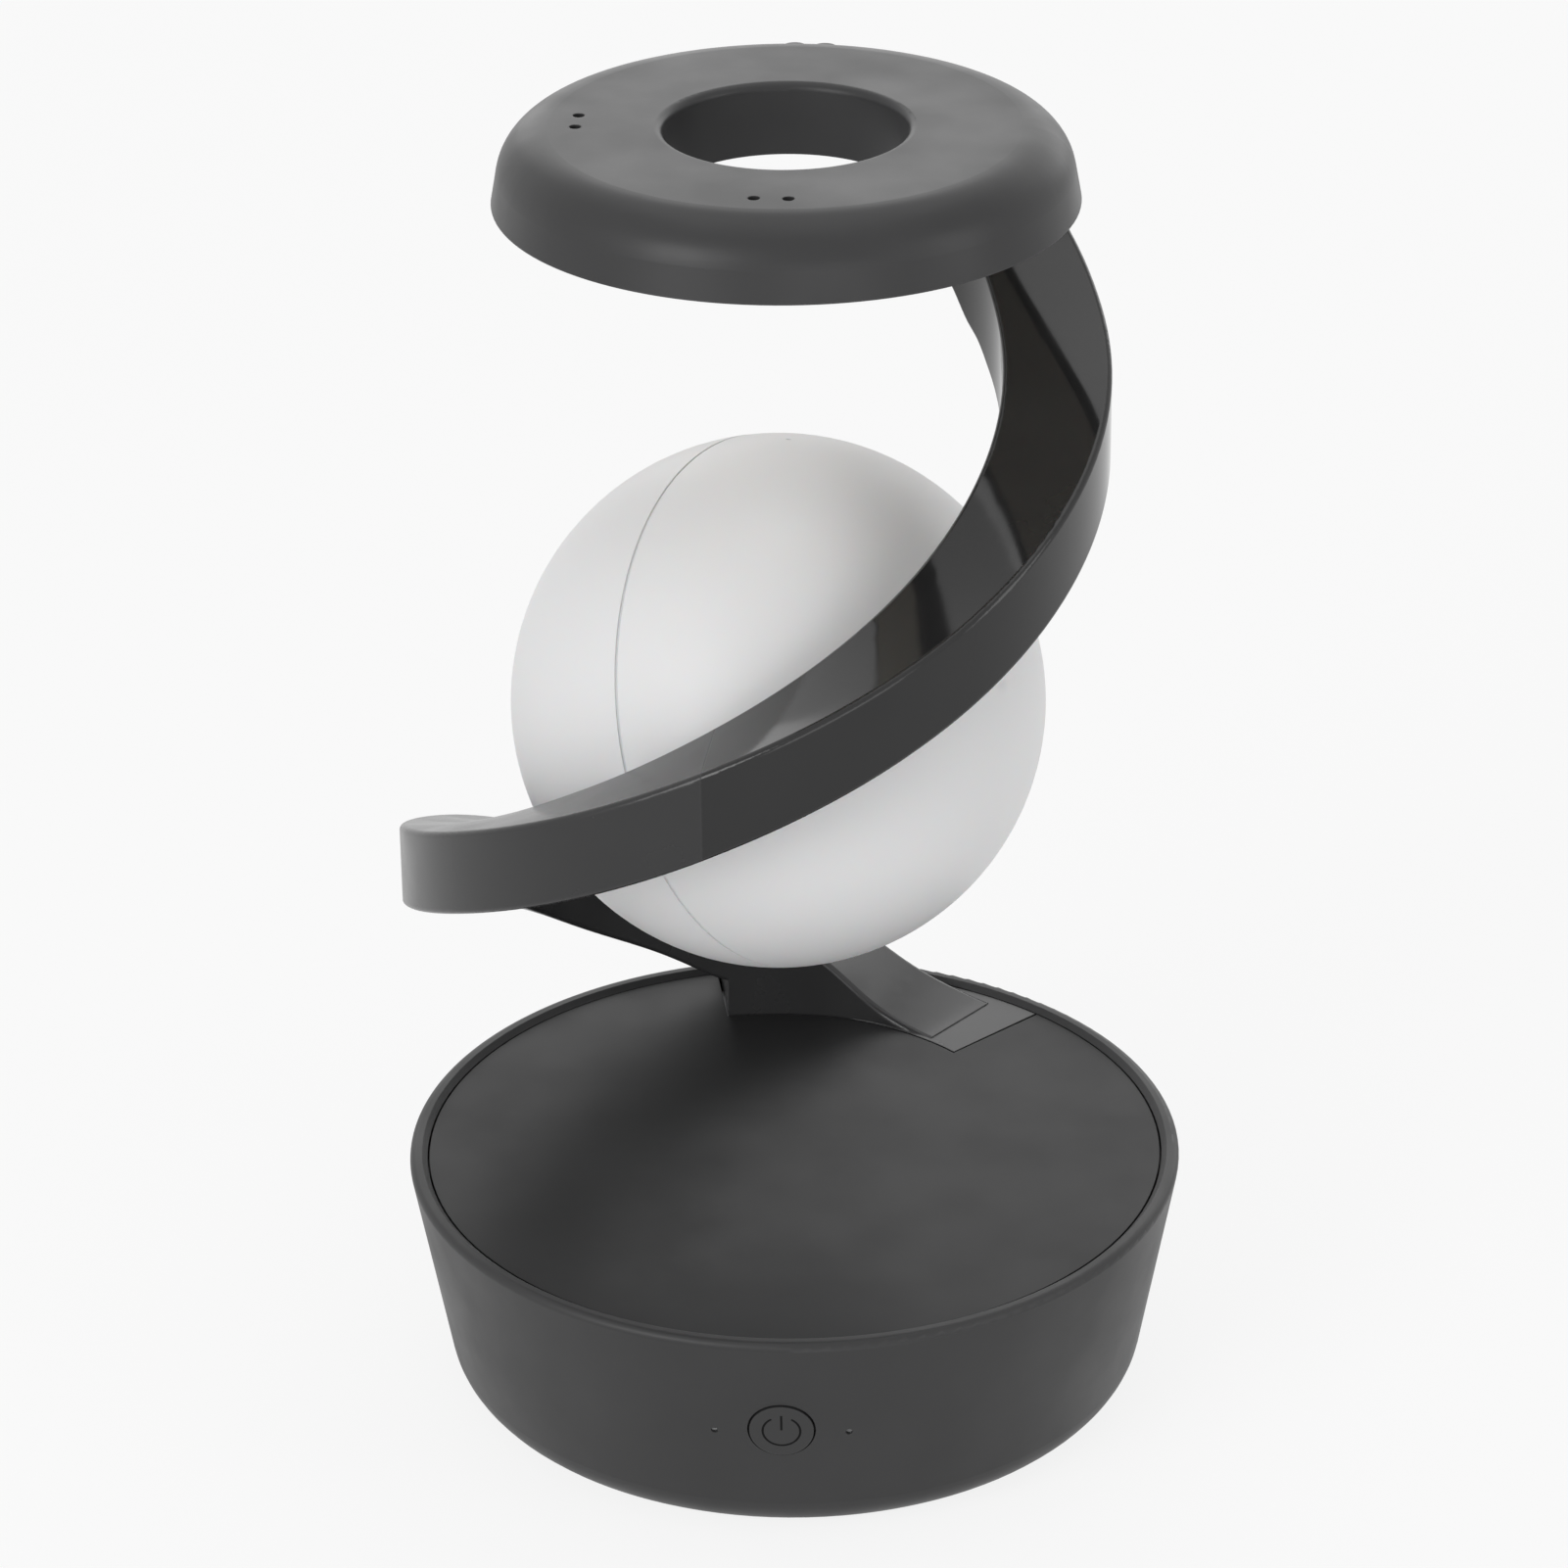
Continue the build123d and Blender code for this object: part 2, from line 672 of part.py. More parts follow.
def upper_arm():
    """Ribbon cut off at the ring's underside, with a tongue that enters the ring."""
    ribbon = arm_loft(arm_seam_angle, arm_top_angle, 5)
    ribbon -= Pos(0, 0, ring_z + ring_height) * Box(4 * arm_radius, 4 * arm_radius, 2 * ring_height)
    body = ribbon - arm_loft(arm_seam_angle, arm_hollow_end, 5, arm_wall)
    inner, outer = tongue_outer - tongue_width, tongue_outer
    body += sector(inner, outer, ear_azimuths[0], top_end - 2, ring_z - 1, tongue_z)
    body += sector(inner, outer, *ear_azimuths, tongue_z - ear_thickness, tongue_z)
    body -= Location(lead_exit(0)) * rod(lead_bore_radius, ring_z - 4 * lead_bore_radius, ring_z + 1)
    for place in around(ear_screw_azimuths, tongue_circle):
        body -= place * rod(screw_radius + screw_gap, ring_z, tongue_z + 1)
    return body


def ring_arm_screws():
    under = tongue_z - ear_thickness
    length = ear_thickness + ring_screw_grip
    return [place * screw(length) for place in around(ear_screw_azimuths, tongue_circle, under)]


def lead_exit(z):
    """Point above the arm's top opening, where the lead enters the ring."""
    return arm_point(lead_exit_angle, (outer_wall(lead_exit_angle) + inner_wall(lead_exit_angle)) / 2, z)


def lamp_lead():
    """Two-core lead from its socket on the main board, through the arm, to the ring's LED board."""
    bore = lead_point(lead_bore_angle)
    socket_top = board_z + board_thickness + BOARD_CHIPS[0][4] + screw_gap
    board_under = ring_board_z - ring_board_thickness - lead_radius / 2
    first, last = lead_bore_angle + 10, lead_exit_angle - 20
    start_path = Spline(
        Vector(*lead_socket, socket_top),
        Vector(*lead_socket, socket_top + lead_rise),
        Vector(bore.X, bore.Y, plate_z - 2 * clamp_thickness),
        bore,
        lead_point(first),
        tangents=[(0, 0, 1), lead_point(first + 1) - lead_point(first - 1)],
    )
    end_path = Spline(
        lead_point(last),
        lead_exit(ring_z - 2 * lead_radius),
        lead_exit(ring_z + lead_radius),
        polar(azimuth_of(lead_exit(ring_z)), ring_board_screw_circle, board_under),
        tangents=[lead_point(last + 1) - lead_point(last - 1), (0, 0, 1)],
    )
    count = round((last - first) / 12)
    angles = [first + (last - first) * i / count for i in range(count + 1)]
    body = loft([lead_section(angle) for angle in angles])
    for path, at in ((start_path, 0), (end_path, 1)):
        body += sweep(Plane(origin=path @ at, z_dir=path % at) * Circle(lead_radius), path)
    return body


def lead_section(angle):
    """Upright section of the lead inside the arm."""
    at = lead_point(angle)
    place = Pos(Vector(at.X - arm_axis_x, at.Y - arm_axis_y).length, at.Z)
    side = 2 * lead_radius
    return arm_plane(angle) * place * RectangleRounded(side, side * steepness(angle), 0.9 * lead_radius)


def arm_magnet():
    """Dished magnet in the arm's pocket; the ball turns and pulls off here."""
    front = ball_radius + ball_gap - magnet_dish
    body = magnet_rod(magnet_radius, front, magnet_reach + magnet_depth)
    return body - Location(ball_centre) * Sphere(ball_radius + ball_gap)


# ---- light ring ---------------------------------------------------------------------------------
ring_board_z = ring_top_z - ring_board_drop
diffuser_z = ring_z - diffuser_proud
diffuser_top_z = diffuser_z + diffuser_thickness


def ring_housing():
    side = (ring_top_radius, ring_top_z)
    hole = (ring_hole_radius, ring_top_z)
    body = revolved(
        [(ring_hole_radius, ring_z), (ring_radius, ring_z), side, hole],
        [(side, ring_round), (hole, ring_hole_round)],
    )
    lip_in, lip_out = ring_hole_radius + ring_wall, ring_radius - ring_wall
    roof = ring_top_z - ring_wall
    wall_out = (ring_top_radius - ring_wall - diffuser_ledge, roof)
    body -= revolved(
        [
            (lip_in + diffuser_ledge, diffuser_top_z - 1),
            (lip_out - diffuser_ledge, diffuser_top_z - 1),
            wall_out,
            (lip_in + diffuser_ledge, roof),
        ],
        [(wall_out, ring_round - ring_wall)],
    )
    body -= tube(lip_out, lip_in, ring_z - 1, diffuser_top_z)
    for place in around(vent_hole_azimuths, vent_hole_circle):
        turn = Location(place.position, (0, 0, azimuth_of(place.position)))
        for side in (-1, 1):
            hole = rod(vent_hole_radius, roof - 1, ring_top_z + 1)
            body -= turn * Pos(side * vent_hole_spacing / 2, 0) * hole
    bosses = [place * rod(boss_radius, ring_board_z, roof + 1) for place in ring_board_places()]
    for place in around(ear_screw_azimuths, tongue_circle):
        bosses.append(place * rod(boss_radius, tongue_z, roof + 1))
    for boss in bosses:
        body += boss
    for place in ring_board_places():
        body -= place * rod(screw_radius, ring_board_z - 1, roof)
    for place in around(ear_screw_azimuths, tongue_circle):
        body -= place * rod(screw_radius, tongue_z - 1, tongue_z + ring_screw_grip + screw_gap)
    return body


def ring_board_places():
    return around(ring_board_screw_azimuths, ring_board_screw_circle)


def ring_diffuser():
    inner = ring_hole_radius + ring_wall + diffuser_gap
    outer = ring_radius - ring_wall - diffuser_gap
    notch_inner = ring_radius - arm_width / 2 - diffuser_notch
    body = tube(outer, inner, diffuser_z, diffuser_top_z)
    start, end = top_start - notch_margin, top_end + notch_margin
    return body - sector(notch_inner, ring_radius, start, end, diffuser_z - 1, diffuser_top_z + 1)


def ring_led_board():
    inner, outer = ring_board_radii
    body = tube(outer, inner, ring_board_z - ring_board_thickness, ring_board_z)
    for place in ring_board_places():
        body -= place * rod(screw_radius + screw_gap, ring_z, ring_top_z)
    return body


def ring_leds():
    under = ring_board_z - ring_board_thickness
    chip = Pos(0, 0, under - led_size[2] / 2) * Box(*led_size)
    places = PolarLocations(ring_led_circle, ring_led_count)
    return [place * chip for place in places]


def ring_board_screws():
    under = ring_board_z - ring_board_thickness
    length = ring_top_z - ring_wall - under - 2 * screw_gap
    return [Pos(0, 0, under) * place * screw(length) for place in ring_board_places()]


# ---- ball ---------------------------------------------------------------------------------------
seam_direction = Vector(
    cos(radians(ball_seam_tilt)) * sin(radians(ball_seam_azimuth)),
    -cos(radians(ball_seam_tilt)) * cos(radians(ball_seam_azimuth)),
    sin(radians(ball_seam_tilt)),
)
seam_plane = Plane(origin=ball_centre, z_dir=seam_direction)
lip_outer = sqrt((ball_radius - ball_wall) ** 2 - ball_lip**2) - ball_lip_gap
lip_inner = lip_outer - ball_lip_wall
frame_radius = lip_inner - ball_lip_gap
ball_magnet_far = sqrt(frame_radius**2 - magnet_radius**2)


def ball_half(keep):
    shell = Sphere(ball_radius) - Sphere(ball_radius - ball_wall)
    shell -= tube(ball_radius + 1, ball_radius - ball_seam_groove, -ball_seam_groove, ball_seam_groove)
    return split(shell, bisect_by=Plane.XY, keep=keep)


def ball_shell_right():
    """Half on the seam direction's side, with the dimple of its moulding pin."""
    body = seam_plane * ball_half(Keep.TOP)
    return body - Location(ball_centre) * Pos(*(pin_mark_direction * ball_radius)) * Sphere(pin_mark_radius)


def ball_shell_left():
    """Half away from the seam direction, with the lip that the other half slips over."""
    body = ball_half(Keep.BOTTOM)
    root = tube(ball_radius - ball_wall / 2, lip_inner, -ball_lip, 0) & Sphere(ball_radius - ball_wall / 2)
    return seam_plane * (body + root + tube(lip_outer, lip_inner, 0, ball_lip))


def ball_frame():
    """Plate in the seam that carries the battery, both LED boards and the ball's magnet."""
    half = frame_thickness / 2
    body = tube(frame_radius, frame_radius - frame_ring_width, -half, half)
    body += rod(frame_hub_radius, -half, half)
    for turn in (0, 120, 240):
        length = frame_radius - frame_ring_width / 2
        spoke = Box(length, frame_spoke_width, frame_thickness)
        body += Rot(0, 0, turn) * Pos(frame_radius / 2, 0) * spoke
    for side in (-1, 1):
        stand = rod(ball_post_radius, -ball_board_level(), ball_board_level())
        body += Pos(0, side * ball_post_place) * stand
    body -= Box(battery_size[0] + 2 * fit_gap, battery_size[1] + 2 * fit_gap, 2 * battery_size[2])
    body = seam_plane * body
    near = ball_magnet_far - ball_magnet_thickness
    body += magnet_rod(magnet_radius + magnet_cup_wall, near - magnet_cup_wall, ball_magnet_far - 1)
    return body - magnet_rod(magnet_radius + fit_gap, near, ball_radius)


def ball_board_level():
    return battery_size[2] / 2 + ball_board_gap


def ball_magnet():
    return magnet_rod(magnet_radius, ball_magnet_far - ball_magnet_thickness, ball_magnet_far)


def ball_battery():
    return seam_plane * Box(*battery_size)


def ball_led_boards():
    level = ball_board_level()
    plate = rod(ball_board_radius, level, level + ring_board_thickness)
    return [seam_plane * plate, seam_plane * (Rot(180, 0, 0) * plate)]


def ball_leds():
    level = ball_board_level() + ring_board_thickness + led_size[2] / 2
    places = PolarLocations(ball_board_radius - 2 * led_size[0] / 2 - 1, ball_led_count)
    chips = [place * Pos(0, 0, level) * Box(*led_size) for place in places]
    return [seam_plane * (turn * chip) for turn in (Rot(0, 0, 0), Rot(180, 0, 0)) for chip in chips]


# ---- one STEP file for each named piece ---------------------------------------------------------
PIECES = (
    base_housing, base_lid, bottom_cover, rubber_feet, cover_screws, ballast_plate, main_board,
    board_chips, board_screws, power_inlet, button_board, tact_switch, switch_plunger, power_button,
    indicator_pipes, foot_clamp_plate, foot_screws, lower_arm, arm_joint_plug, upper_arm, lamp_lead,
    arm_magnet, ring_housing, ring_diffuser, ring_led_board, ring_leds, ring_board_screws,
    ring_arm_screws, ball_shell_left, ball_shell_right, ball_frame, ball_magnet, ball_battery,
    ball_led_boards, ball_leds,
)

os.makedirs("parts", exist_ok=True)
for piece in PIECES:
    made = piece()
    solids = [solid for item in (made if isinstance(made, list) else [made]) for solid in item.solids()]
    export_step(Compound(children=solids) if len(solids) > 1 else solids[0], f"parts/{piece.__name__}.step")
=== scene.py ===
import json
import math

import bmesh
import bpy
from mathutils import Matrix, Vector


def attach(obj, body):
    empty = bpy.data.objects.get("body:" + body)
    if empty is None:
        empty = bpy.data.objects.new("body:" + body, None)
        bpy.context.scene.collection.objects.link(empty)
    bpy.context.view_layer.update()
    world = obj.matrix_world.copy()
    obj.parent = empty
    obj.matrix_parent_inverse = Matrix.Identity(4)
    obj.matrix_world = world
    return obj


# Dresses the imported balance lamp: materials, the power symbol, floor, lights and camera.
# Metres in the CAD frame, except the power symbol, which is drawn in millimetres and scaled by MM.
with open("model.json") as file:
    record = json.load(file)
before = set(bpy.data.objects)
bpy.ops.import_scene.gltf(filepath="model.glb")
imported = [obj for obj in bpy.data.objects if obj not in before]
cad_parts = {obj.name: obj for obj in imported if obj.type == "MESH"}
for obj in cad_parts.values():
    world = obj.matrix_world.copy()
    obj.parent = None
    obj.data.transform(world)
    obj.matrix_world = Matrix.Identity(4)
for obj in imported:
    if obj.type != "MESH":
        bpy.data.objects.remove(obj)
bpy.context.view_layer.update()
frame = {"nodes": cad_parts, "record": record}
MM = 0.001


# ---- camera -------------------------------------------------------------------------------------
# A pinhole camera fitted to the outlines of the base, ring, ball and arm in the photograph.
IMAGE_SIDE = 1601               # pixels
SENSOR_WIDTH = 36.0
CAMERA_UNIT = 1.0168 * MM       # metres to one unit of the fit
LID_LEVEL = 0.0462              # heights in the fit are measured from the lid
TURN = math.radians(2.45)       # the camera stands this far round from the button
DISTANCE, HEIGHT, ASIDE = 918.2562, 536.4103, -2.5446
YAW, PITCH, ROLL = 0.0013, 0.4637, -0.0094
FOCAL_PIXELS = 5640.0
NEAR_CLIP, FAR_CLIP = 0.05, 20.0

forward = Vector((math.sin(YAW) * math.cos(PITCH), math.cos(YAW) * math.cos(PITCH), -math.sin(PITCH)))
right = Vector((math.cos(YAW), -math.sin(YAW), 0))
up = right.cross(forward)
right, up = (
    math.cos(ROLL) * right + math.sin(ROLL) * up,
    math.cos(ROLL) * up - math.sin(ROLL) * right,
)
turn = Matrix.Rotation(TURN, 3, "Z")
forward, right, up = turn @ forward, turn @ right, turn @ up
place = turn @ Vector((ASIDE, -DISTANCE, HEIGHT)) * CAMERA_UNIT + Vector((0, 0, LID_LEVEL))
camera = bpy.data.objects.new("camera", bpy.data.cameras.new("camera"))
bpy.context.scene.collection.objects.link(camera)
camera.matrix_world = Matrix.Translation(place) @ Matrix((right, up, -forward)).transposed().to_4x4()
camera.data.sensor_width = SENSOR_WIDTH
camera.data.lens = FOCAL_PIXELS / IMAGE_SIDE * SENSOR_WIDTH
camera.data.clip_start, camera.data.clip_end = NEAR_CLIP, FAR_CLIP
bpy.context.scene.camera = camera
bpy.context.scene.view_settings.view_transform = "Standard"


# ---- materials ----------------------------------------------------------------------------------
class Shader:
    """A node material built up from short calls."""

    def __init__(self, name):
        self.material = bpy.data.materials.new(name)
        self.material.use_nodes = True
        self.tree = self.material.node_tree
        self.bsdf = self.tree.nodes["Principled BSDF"]
        self.where = self.add("ShaderNodeTexCoord").outputs["Object"]

    def add(self, kind, **values):
        node = self.tree.nodes.new(kind)
        for key, value in values.items():
            setattr(node, key, value)
        return node

    def link(self, out, into):
        self.tree.links.new(out, into)

    def noise(self, scale, detail=3.0, stretch=None):
        """Noise in object space, in cycles to a metre, stretched along an axis if asked."""
        node = self.add("ShaderNodeTexNoise")
        node.inputs["Scale"].default_value = scale
        node.inputs["Detail"].default_value = detail
        source = self.where
        if stretch:
            mapping = self.add("ShaderNodeMapping")
            mapping.inputs["Scale"].default_value = stretch
            self.link(self.where, mapping.inputs["Vector"])
            source = mapping.outputs["Vector"]
        self.link(source, node.inputs["Vector"])
        return node.outputs["Fac"]

    def span(self, value, low, high, start=0.3, end=0.7):
        """Maps start..end of a value to low..high."""
        node = self.add("ShaderNodeMapRange")
        for key, number in zip(("From Min", "From Max", "To Min", "To Max"), (start, end, low, high)):
            node.inputs[key].default_value = number
        self.link(value, node.inputs["Value"])
        return node.outputs["Result"]

    def ramp(self, value, stops):
        """Colour from a value, by stops of position and colour."""
        node = self.add("ShaderNodeValToRGB")
        elements = node.color_ramp.elements
        while len(elements) < len(stops):
            elements.new(0.5)
        for element, (at, color) in zip(elements, stops):
            element.position, element.color = at, (*color, 1)
        self.link(value, node.inputs["Fac"])
        return node.outputs["Color"]

    def edge(self, width):
        """1 on convex and concave edges narrower than the width, 0 on plain surface."""
        bevel = self.add("ShaderNodeBevel", samples=4)
        bevel.inputs["Radius"].default_value = width
        geometry = self.add("ShaderNodeNewGeometry")
        dot = self.add("ShaderNodeVectorMath", operation="DOT_PRODUCT")
        self.link(bevel.outputs["Normal"], dot.inputs[0])
        self.link(geometry.outputs["Normal"], dot.inputs[1])
        return self.span(dot.outputs["Value"], 1.0, 0.0, 0.9, 0.999)

    def bump(self, layers, soften=0.00025):
        """Softens sharp edges by a radius, then adds layers of value, depth and strength."""
        bevel = self.add("ShaderNodeBevel", samples=4)
        bevel.inputs["Radius"].default_value = soften
        normal = bevel.outputs["Normal"]
        for value, distance, strength in layers:
            node = self.add("ShaderNodeBump")
            node.inputs["Distance"].default_value = distance
            node.inputs["Strength"].default_value = strength
            self.link(value, node.inputs["Height"])
            self.link(normal, node.inputs["Normal"])
            normal = node.outputs["Normal"]
        self.link(normal, self.bsdf.inputs["Normal"])


def gray(value):
    """Neutral colour with the faint blue of the lamp's plastic."""
    return (value, value, value * 1.02)


def moulded(
    name,
    dark,
    light,
    rough,
    grain=2600.0,
    grain_depth=0.00002,
    grain_strength=0.2,
    spread=0.05,
    specular=0.35,
):
    """Moulded dark plastic: spark-eroded grain, slight clouding, and edges made a little lighter as a
    painted highlight.
    """
    s = Shader(name)
    cloud = s.noise(26.0, 4.0)
    fine = s.noise(grain, 2.0)
    # Painted highlight: within 0.4 mm of an edge the colour turns to 1.25 to 1.6 times the light tone,
    # standing in for light caught on the edges.
    painted_edge_highlight = s.add("ShaderNodeMix", data_type="RGBA", blend_type="MIX")
    s.link(s.edge(0.0004), painted_edge_highlight.inputs["Factor"])
    s.link(s.ramp(cloud, [(0.35, gray(dark)), (0.65, gray(light))]), painted_edge_highlight.inputs["A"])
    s.link(s.ramp(fine, [(0.3, gray(light * 1.25)), (0.7, gray(light * 1.6))]), painted_edge_highlight.inputs["B"])
    s.link(painted_edge_highlight.outputs["Result"], s.bsdf.inputs["Base Color"])
    s.link(s.span(s.noise(60.0, 5.0), rough - spread, rough + spread), s.bsdf.inputs["Roughness"])
    s.bsdf.inputs["Specular IOR Level"].default_value = specular
    s.bump([(fine, grain_depth, grain_strength), (s.noise(90.0, 2.0), 0.0001, 0.04)])
    return s.material


def metal(name, low, high, rough, stretch=(1, 1, 14)):
    """Bare or plated metal with streaks along one axis, or even where nothing is stretched."""
    s = Shader(name)
    streak = s.noise(420.0, 3.0, stretch=stretch)
    s.link(s.ramp(streak, [(0.3, gray(low)), (0.7, gray(high))]), s.bsdf.inputs["Base Color"])
    s.bsdf.inputs["Metallic"].default_value = 1.0
    s.link(s.span(s.noise(70.0), rough - 0.06, rough + 0.08), s.bsdf.inputs["Roughness"])
    s.bump([(streak, 0.00003, 0.12)])
    return s.material


def board(name):
    """Green solder resist over faint copper traces."""
    s = Shader(name)
    tracks = s.add("ShaderNodeTexVoronoi", feature="DISTANCE_TO_EDGE")
    tracks.inputs["Scale"].default_value = 240.0
    s.link(s.where, tracks.inputs["Vector"])
    lines = s.span(tracks.outputs["Distance"], 0.0, 1.0, 0.02, 0.06)
    color = s.ramp(lines, [(0.0, (0.02, 0.15, 0.07)), (1.0, (0.008, 0.07, 0.03))])
    s.link(color, s.bsdf.inputs["Base Color"])
    s.link(s.span(s.noise(120.0), 0.28, 0.42), s.bsdf.inputs["Roughness"])
    s.bump([(lines, 0.00003, 0.3)])
    return s.material


def ball_white():
    """White translucent plastic with a soft satin skin."""
    s = Shader("ball_white")
    color = s.ramp(s.noise(14.0), [(0.3, (0.80, 0.80, 0.805)), (0.7, (0.835, 0.835, 0.84))])
    s.link(color, s.bsdf.inputs["Base Color"])
    s.link(s.span(s.noise(45.0), 0.42, 0.52), s.bsdf.inputs["Roughness"])
    s.bsdf.inputs["Subsurface Weight"].default_value = 0.12
    s.bsdf.inputs["Subsurface Scale"].default_value = 0.002
    s.bump([(s.noise(3200.0, 2.0), 0.00001, 0.12)], 0.0003)
    return s.material


def diffuser():
    """Frosted warm white plastic of the ring's light strip."""
    s = Shader("diffuser")
    color = s.ramp(s.noise(40.0), [(0.3, (0.78, 0.71, 0.60)), (0.7, (0.83, 0.77, 0.67))])
    s.link(color, s.bsdf.inputs["Base Color"])
    s.link(s.span(s.noise(80.0), 0.38, 0.5), s.bsdf.inputs["Roughness"])
    s.bsdf.inputs["Subsurface Weight"].default_value = 0.15
    s.bsdf.inputs["Subsurface Scale"].default_value = 0.0015
    s.bump([(s.noise(2400.0, 2.0), 0.00001, 0.15)])
    return s.material


def led():
    """Yellow phosphor under clear resin."""
    s = Shader("led")
    color = s.ramp(s.noise(500.0), [(0.3, (0.85, 0.72, 0.25)), (0.7, (0.92, 0.82, 0.40))])
    s.link(color, s.bsdf.inputs["Base Color"])
    s.link(s.span(s.noise(300.0), 0.12, 0.22), s.bsdf.inputs["Roughness"])
    s.bump([(s.noise(900.0), 0.00002, 0.1)])
    return s.material


def clear():
    """Clear plastic of the light pipes."""
    s = Shader("clear_plastic")
    color = s.ramp(s.noise(300.0), [(0.3, (0.80, 0.81, 0.82)), (0.7, (0.88, 0.88, 0.88))])
    s.link(color, s.bsdf.inputs["Base Color"])
    s.bsdf.inputs["Transmission Weight"].default_value = 0.6
    s.link(s.span(s.noise(200.0), 0.2, 0.3), s.bsdf.inputs["Roughness"])
    s.bump([(s.noise(700.0), 0.00001, 0.1)])
    return s.material


EVEN = (1, 1, 1)
MATERIALS = {
    "base_paint": moulded("base_paint", 0.028, 0.032, 0.46),
    "lid_paint": moulded("lid_paint", 0.016, 0.019, 0.40, specular=0.18),
    "ring_paint": moulded("ring_paint", 0.036, 0.041, 0.38, specular=0.25),
    "satin_gloss": moulded("satin_gloss", 0.028, 0.032, 0.24, 900.0, 0.00001),
    "high_gloss": moulded("high_gloss", 0.013, 0.016, 0.08, 700.0, 0.000004, 0.08, 0.02, 0.4),
    "black_plastic": moulded("black_plastic", 0.018, 0.024, 0.5),
    "rubber": moulded("rubber", 0.018, 0.022, 0.8, 1500.0, 0.00005, 0.4),
    "steel": metal("steel", 0.5, 0.62, 0.32),
    "cast_iron": metal("cast_iron", 0.18, 0.26, 0.6, EVEN),
    "circuit_board": board("circuit_board"),
    "clear_plastic": clear(),
    "magnet_steel": metal("magnet_steel", 0.5, 0.6, 0.2, EVEN),
    "diffuser": diffuser(),
    "led": led(),
    "ball_white": ball_white(),
    "foil": metal("foil", 0.45, 0.55, 0.35, (1, 6, 1)),
}
for part in frame["record"]["subparts"]:
    for material_slot in frame["nodes"][part["node"]].material_slots:
        material_slot.material = MATERIALS[part["material_slot"]]


# ---- power symbol on the button, as thin raised strokes -----------------------------------------
# The base's wall leans out from its lower corner to the rim; the button stands square to it.
BASE_Z, RIM_Z = 1.0, 47.2
BOTTOM_RADIUS, RIM_RADIUS = 67.0, 75.2
BUTTON_HEIGHT = 25.5            # above the base's underside
BUTTON_PROUD = 0.3
STROKE = 0.42                   # width of the strokes
LINE_HEIGHT, LINE_DEPTH = 0.02, 0.12
ARC_RADIUS = 3.5
OPENING = 32                    # degrees to each side of the bar
ARC_STEPS = 48
BAR_FOOT, BAR_LENGTH, BAR_STEPS = 0.3, 3.6, 6

taper = (RIM_RADIUS - BOTTOM_RADIUS) / (RIM_Z - BASE_Z)
button_radius = BOTTOM_RADIUS + taper * BUTTON_HEIGHT
tilt = math.atan(taper)
outward = Vector((0, -math.cos(tilt), -math.sin(tilt)))
upward = Vector((0, -math.sin(tilt), math.cos(tilt)))
button_origin = Vector((0, -button_radius, BASE_Z + BUTTON_HEIGHT))

# Section of a stroke: share of half its width, and height over the button's face.
STROKE_SECTION = (
    (1, -LINE_DEPTH),
    (1, 0.0),
    (0.6, LINE_HEIGHT),
    (-0.6, LINE_HEIGHT),
    (-1, 0.0),
    (-1, -LINE_DEPTH),
)
symbol_material = moulded("symbol", 0.003, 0.005, 0.7, specular=0.1)


def on_button(x, y, height):
    """Point on the button's curved face, x to the right and y up it, in metres."""
    face = BUTTON_PROUD * math.cos(tilt) - x * x / (2 * button_radius) + height
    return (button_origin + Vector((x, 0, 0)) + upward * y + outward * face) * MM


def stroke(name, centre_line):
    """Closed band of even width along a line on the button, its upper edges cut back."""
    mesh = bmesh.new()
    rings = []
    for i, (x, y) in enumerate(centre_line):
        before, after = centre_line[max(i - 1, 0)], centre_line[min(i + 1, len(centre_line) - 1)]
        dx, dy = after[0] - before[0], after[1] - before[1]
        length = math.hypot(dx, dy)
        sx, sy = -dy / length * STROKE / 2, dx / length * STROKE / 2
        corners = [on_button(x + sx * w, y + sy * w, h) for w, h in STROKE_SECTION]
        rings.append([mesh.verts.new(corner) for corner in corners])
    for a, b in zip(rings, rings[1:]):
        for j in range(len(a)):
            mesh.faces.new((a[j], a[(j + 1) % len(a)], b[(j + 1) % len(a)], b[j]))
    mesh.faces.new(list(reversed(rings[0])))
    mesh.faces.new(rings[-1])
    bmesh.ops.recalc_face_normals(mesh, faces=mesh.faces)
    data = bpy.data.meshes.new(name)
    mesh.to_mesh(data)
    mesh.free()
    obj = bpy.data.objects.new(name, data)
    bpy.context.scene.collection.objects.link(obj)
    data.materials.append(symbol_material)
    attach(obj, "button")


turns = [90 + OPENING + (360 - 2 * OPENING) * i / ARC_STEPS for i in range(ARC_STEPS + 1)]
arc = [(ARC_RADIUS * math.cos(math.radians(a)), ARC_RADIUS * math.sin(math.radians(a))) for a in turns]
stroke("power_symbol_arc", arc)
stroke("power_symbol_bar", [(0, BAR_FOOT + BAR_LENGTH * i / BAR_STEPS) for i in range(BAR_STEPS + 1)])


# ---- floor, light and background ----------------------------------------------------------------
FLOOR_HALF = 6.0
FLOOR_DROP = 0.0002             # keeps the floor clear of the pads
FLOOR_GLOW = 0.85               # share of plain white in the floor, as the camera and gloss see it
ROOM_STRENGTH = 0.42            # what the room gives as light
WHITE = (1, 1, 1, 1)
SOFTBOXES = (
    # name, place, aimed at, width, height, watts
    ("key", (-0.95, -1.2, 0.75), (0, 0, 0.12), 0.8, 0.9, 11),
    ("front_fill", (0.5, -1.6, 0.25), (0, 0, 0.12), 1.2, 0.5, 3),
    ("top", (0.0, 0.2, 1.5), (0, 0, 0.1), 1.1, 1.1, 3),
    ("back_wall", (0.25, 1.7, 0.75), (0, 0, 0.15), 2.4, 1.1, 8),
    ("side", (1.3, -0.5, 0.5), (0, 0, 0.15), 0.5, 0.9, 3),
)


